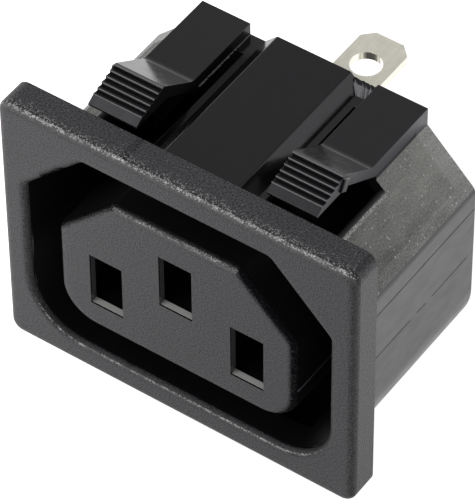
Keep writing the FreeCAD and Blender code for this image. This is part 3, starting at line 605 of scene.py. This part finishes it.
# %% Specks behind the top edge
# Behind the flange's top edge the painted glints grow rarer: each crater has a random number, and shows
# when it is above a limit that rises over 1.1 mm.
CRATER = 0.16
craters = add_node(tree, "ShaderNodeTexVoronoi", {"Vector": place, "Scale": 1 / CRATER})
chance = add_node(tree, "ShaderNodeSeparateColor", {"Color": (craters, "Color")})
limit = add_node(tree, "ShaderNodeMapRange", {"Value": (at, "Y"), "From Min": -2.7, "From Max": -1.6,
                                             "To Min": 0.15, "To Max": 0.985})
painted_glint = add_node(tree, "ShaderNodeMath", {0: (chance, "Red"), 1: limit}, operation="GREATER_THAN")
dab = add_node(tree, "ShaderNodeMapRange", {"Value": (craters, "Distance"), "From Min": 0.55,
                                           "From Max": 0.1, "To Max": 0.52})
fading = add_node(tree, "ShaderNodeMapRange", {"Value": (at, "Y"), "From Min": -2.7, "From Max": -1.8,
                                              "To Min": 1.0, "To Max": 0.4})
leaning = add_node(tree, "ShaderNodeMath", {0: (facing, "Z"), 1: 0.55}, operation="GREATER_THAN")
for area in (dab, leaning, above, flange, fading):
    painted_glint = add_node(tree, "ShaderNodeMath", {0: painted_glint, 1: area}, operation="MULTIPLY")
coats.append((painted_glint, linear(EDGE_HIGHLIGHT_GREY)))
print("craters", CRATER, "mm wide behind the top edge")

# %% Slot lips and teeth
# The lower lip of each slot is painted pale, painted light where it catches the light from the front, and
# the left lip a dim grey, weaker painted light. The edges of the teeth get a painted highlight.
LOWER_LIP_PAINTED_LIGHT, LEFT_LIP_PAINTED_LIGHT, TOOTH_HIGHLIGHT_GREY = "#b2b2b0", "#3c3c3e", "#7c7c7e"
coats += [(lower_lip, linear(LOWER_LIP_PAINTED_LIGHT)), (left_lip, linear(LEFT_LIP_PAINTED_LIGHT)), (tooth_highlight, linear(TOOTH_HIGHLIGHT_GREY))]
print("lips", LOWER_LIP_PAINTED_LIGHT, "and", LEFT_LIP_PAINTED_LIGHT, "and teeth", TOOTH_HIGHLIGHT_GREY)

# %% [markdown]
# ### Marks of the mould
#
# A mould is put together from blocks of steel, and its joints and ejector pins print fine lines and rings
# on the part. They are only hundredths of a millimetre deep, so cutting them into the mesh would show
# nothing more: a change of gloss or of colour is what the eye sees.

# %% Mould lines
# The mould's side slide leaves two dull lines on each side, 3.58 mm above and 1.42 mm below the middle. The
# lower one is broken where the slide was repaired; the stops say where it is drawn, in mm from the panel.
LINE_BREAKS = ((0, 1), (7.41, 0), (8.39, 1), (9.67, 0), (10.53, 1), (15.8, 0))
upper = add_node(tree, "ShaderNodeMath", {0: (at, "Z"), 1: 3.58, 2: 0.07}, operation="COMPARE")
lower = add_node(tree, "ShaderNodeMath", {0: (at, "Z"), 1: -1.42, 2: 0.065}, operation="COMPARE")
run = add_node(tree, "ShaderNodeMapRange", {"Value": (at, "Y"), "From Min": 0.0, "From Max": SHROUD_DEPTH})
breaks = add_node(tree, "ShaderNodeValToRGB", {"Fac": run})
breaks.color_ramp.interpolation = "CONSTANT"
set_stops(breaks.color_ramp, [(millimetre / SHROUD_DEPTH, drawn) for millimetre, drawn in LINE_BREAKS])
lower = add_node(tree, "ShaderNodeMath", {0: lower, 1: breaks}, operation="MULTIPLY")
lines = add_node(tree, "ShaderNodeMath", {0: upper, 1: lower}, operation="MAXIMUM")
lines = add_node(tree, "ShaderNodeMath", {0: lines, 1: side}, operation="MULTIPLY")
roughness = add_node(tree, "ShaderNodeMath", {0: lines, 1: 0.45, 2: roughness}, operation="MULTIPLY_ADD")
shine = add_node(tree, "ShaderNodeMath", {0: lines, 1: -0.22, 2: shine}, operation="MULTIPLY_ADD")
print("two mould lines per side")

# %% Line on the core's walls
# A paler line runs along each side wall of the core, 3.45 mm below the middle, where the wall starts to
# bend.
CORE_LINE, CORE_WALL = "#4c4c50", 11.75
core_line = add_node(tree, "ShaderNodeMath", {0: (at, "Z"), 1: -3.45, 2: 0.10}, operation="COMPARE")
core_wall = add_node(tree, "ShaderNodeMath", {0: off_middle, 1: CORE_WALL, 2: 0.05}, operation="COMPARE")
for area in (core_wall, upright_side):
    core_line = add_node(tree, "ShaderNodeMath", {0: core_line, 1: area}, operation="MULTIPLY")
coats.append((core_line, linear(CORE_LINE)))
print("one line on each wall of the core")

# %% Ejector marks
# Four pins push the part out of the mould and print rings 2.2 mm wide on the rear face, two on each half.
EJECTOR_RING, RING_RADIUS, RING_LINE = "#4a4a4c", 1.1, 0.06
rear = add_node(tree, "ShaderNodeMath", {0: (facing, "Y"), 1: UPRIGHT}, operation="GREATER_THAN")
on_rear = add_node(tree, "ShaderNodeCombineXYZ", {"X": off_middle, "Y": (at, "Z")})
pair = []
for pin in ((12.7, 3.0, 0.0), (11.6, -8.2, 0.0)):
    radius = add_node(tree, "ShaderNodeVectorMath", {0: on_rear, 1: pin}, operation="DISTANCE")
    pair.append(add_node(tree, "ShaderNodeMath", {0: radius, 1: RING_RADIUS, 2: RING_LINE},
                         operation="COMPARE"))
rings = add_node(tree, "ShaderNodeMath", {0: pair[0], 1: pair[1]}, operation="MAXIMUM")
rings = add_node(tree, "ShaderNodeMath", {0: rings, 1: rear}, operation="MULTIPLY")
coats.append((rings, linear(EJECTOR_RING)))
print(2 * len(pair), "ejector marks")

# %% Coats and shader of the housing
# Polyamide has an IOR of 1.53. Its reflections are the least bit violet in the photograph.
REFLECTION = "#fbf8fd"
tint = linear(SMOOTH_BLACK)
for area, colour in coats:
    tint = add_node(tree, "ShaderNodeMix", {"Factor": area, "A": tint, "B": colour}, data_type="RGBA")
shader = add_node(tree, "ShaderNodeBsdfPrincipled", {
    "Base Color": tint, "Roughness": roughness, "Normal": bump, "Specular IOR Level": shine,
    "Specular Tint": linear(REFLECTION), "IOR": 1.53})
add_node(tree, "ShaderNodeOutputMaterial", {"Surface": shader})
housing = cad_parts["housing"]
housing.data.materials.clear()
housing.data.materials.append(plastic)
print("housing:", len(coats), "coats on", len(housing.data.polygons), "faces")

# %% [markdown]
# ## Tin-plated brass
#
# The contacts are stamped and folded from brass sheet and then tinned so that they take solder. Hot-dipped
# tin sets satin, with a faint mottle and a slight warmth from the brass under it. It could be one flat
# colour, but the mottle and the marks of the rolled sheet are what tells it from paint.

# %% Tin
TIN_VALLEY, TIN_PEAK = "#eeecde", "#fffdf2"
MOTTLE, ROLLING = 0.8, (7.0, 0.4, 7.0)
tin = new_material("tin_plated_brass")
tree = tin.node_tree
coords = add_node(tree, "ShaderNodeTexCoord")
place = add_node(tree, "ShaderNodeVectorMath", {0: (coords, "Object"), "Scale": 1 / MM}, operation="SCALE")
mottle = add_node(tree, "ShaderNodeTexNoise", {"Vector": place, "Scale": 1 / MOTTLE, "Detail": 4.0})
# Rolling marks run along the sheet, a seventh of a millimetre apart.
rolled = add_node(tree, "ShaderNodeVectorMath", {0: place, 1: ROLLING}, operation="MULTIPLY")
rolled = add_node(tree, "ShaderNodeTexNoise", {"Vector": rolled, "Scale": 1.0, "Detail": 2.0})
marks = add_node(tree, "ShaderNodeMath", {0: rolled, 1: 0.8, 2: mottle}, operation="MULTIPLY_ADD")
marks = add_node(tree, "ShaderNodeMapRange", {"Value": marks, "From Min": 0.5, "From Max": 1.3})
colour = add_node(tree, "ShaderNodeMix", {"Factor": marks, "A": linear(TIN_VALLEY),
                                         "B": linear(TIN_PEAK)}, data_type="RGBA")
print("mottle", MOTTLE, "mm wide")

# %% Contacts
# The die shears the edges and holes bright, so there the metal mirrors the black housing.
SHEET_EDGE = 0.08
satin = add_node(tree, "ShaderNodeMapRange", {"Value": mottle, "To Min": 0.55, "To Max": 0.75})
geometry = add_node(tree, "ShaderNodeNewGeometry")
facing = add_node(tree, "ShaderNodeSeparateXYZ", {"Vector": (geometry, "Normal")})
upness = add_node(tree, "ShaderNodeMath", {0: (facing, "Z")}, operation="ABSOLUTE")
sheared = add_node(tree, "ShaderNodeMath", {0: upness, 1: 0.5}, operation="LESS_THAN")
satin = add_node(tree, "ShaderNodeMath", {0: sheared, 1: -0.45, 2: satin}, operation="MULTIPLY_ADD")
sheet_edge = add_node(tree, "ShaderNodeBevel", {"Radius": SHEET_EDGE * MM}, samples=4)
shader = add_node(tree, "ShaderNodeBsdfPrincipled", {
    "Base Color": colour, "Metallic": 1.0, "Roughness": satin, "Normal": sheet_edge})
add_node(tree, "ShaderNodeOutputMaterial", {"Surface": shader})
for name in ("earth_contact", "live_contact", "neutral_contact"):
    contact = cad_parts[name]
    contact.data.materials.clear()
    contact.data.materials.append(tin)
print("three contacts in", tin.name)

# %% [markdown]
# ## Flash and gate stub
#
# Moulding leaves traces. Plastic creeps into the joint of two mould halves and sets as a thin ragged fin,
# here beside the slit of each upper arm. Where the runner was torn off, at the rear end of the right-hand
# channel, a rough stub stays. Both could be displaced from a plane. A row of sections, each moved a little
# by a seeded random number, is easier to place and comes out the same each time.

# %% Strip through sections


def strip(name, sections):
    """A closed strip through sections with equally many corners, in mm."""
    shape = bmesh.new()
    loops = [[shape.verts.new([value * MM for value in corner]) for corner in section]
             for section in sections]
    for loop, after in zip(loops, loops[1:]):
        for this, that in zip(range(len(loop)), list(range(1, len(loop))) + [0]):
            shape.faces.new((loop[this], loop[that], after[that], after[this]))
    shape.faces.new(loops[0])
    shape.faces.new(loops[-1])
    bmesh.ops.recalc_face_normals(shape, faces=shape.faces)
    mesh = bpy.data.meshes.new(name)
    shape.to_mesh(mesh)
    shape.free()
    mesh.materials.append(plastic)
    piece = bpy.data.objects.new(name, mesh)
    scene.collection.objects.link(piece)
    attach(piece, "root")
    print(name, "has", len(mesh.polygons), "faces")


# %% Fins
# A fin grows from the slit's outer wall towards the rib, at the level of the channel's floor. Its top and
# its tip are ragged.
SLIT_WALL, FIN_TIP, FIN_FOOT, FIN_TIP_LEVEL, FIN_TOP = 6.30, 6.16, 11.04, 11.12, 11.26
FIN_START, FIN_STEP, FIN_SECTIONS = 9.4, 0.149, 50
RAGGED = 0.03
ragged = random.Random(7)
for name, half_sign in (("flash_left", -1), ("flash_right", 1)):
    fin = []
    for step in range(FIN_SECTIONS):
        y = FIN_START + FIN_STEP * step
        tip, top = FIN_TIP + ragged.uniform(-RAGGED, RAGGED), FIN_TOP + ragged.uniform(-RAGGED, RAGGED)
        fin.append([(half_sign * SLIT_WALL, y, FIN_FOOT), (half_sign * SLIT_WALL, y, top),
                    (half_sign * tip, y, FIN_TIP_LEVEL)])
    strip(name, fin)

# %% Gate stub
# The stub leans on the 45 degree side of the rib, which meets the channel's floor at x = 4.8, z = 11.15 mm,
# and reaches across the channel. Its foot and its ends are sunk a little. Seen from the side it is a wedge
# with a blunt crown at the rear.
STUB_FOOT, STUB_RIB, STUB_FRONT, STUB_REAR, STUB_CROWN = 11.12, 4.76, 15.7, 16.78, 11.96
STUB_STEPS, CROWN_RAGGED = 12, 0.07
stub = []
for step in range(STUB_STEPS + 1):
    share = step / STUB_STEPS
    crown = STUB_CROWN + ragged.uniform(-CROWN_RAGGED, CROWN_RAGGED)
    front = STUB_FRONT + ragged.uniform(-RAGGED, RAGGED)
    side_view = [(front, STUB_FOOT), (STUB_REAR, STUB_FOOT), (STUB_REAR, crown), (16.55, crown - 0.06),
                 (front + 0.65, 11.78)]
    section = []
    for y, z in side_view:
        at_rib = STUB_RIB - (z - STUB_FOOT)
        section.append((at_rib + share * (SLIT_WALL - at_rib), y, z))
    stub.append(section)
strip("gate_stub", stub)
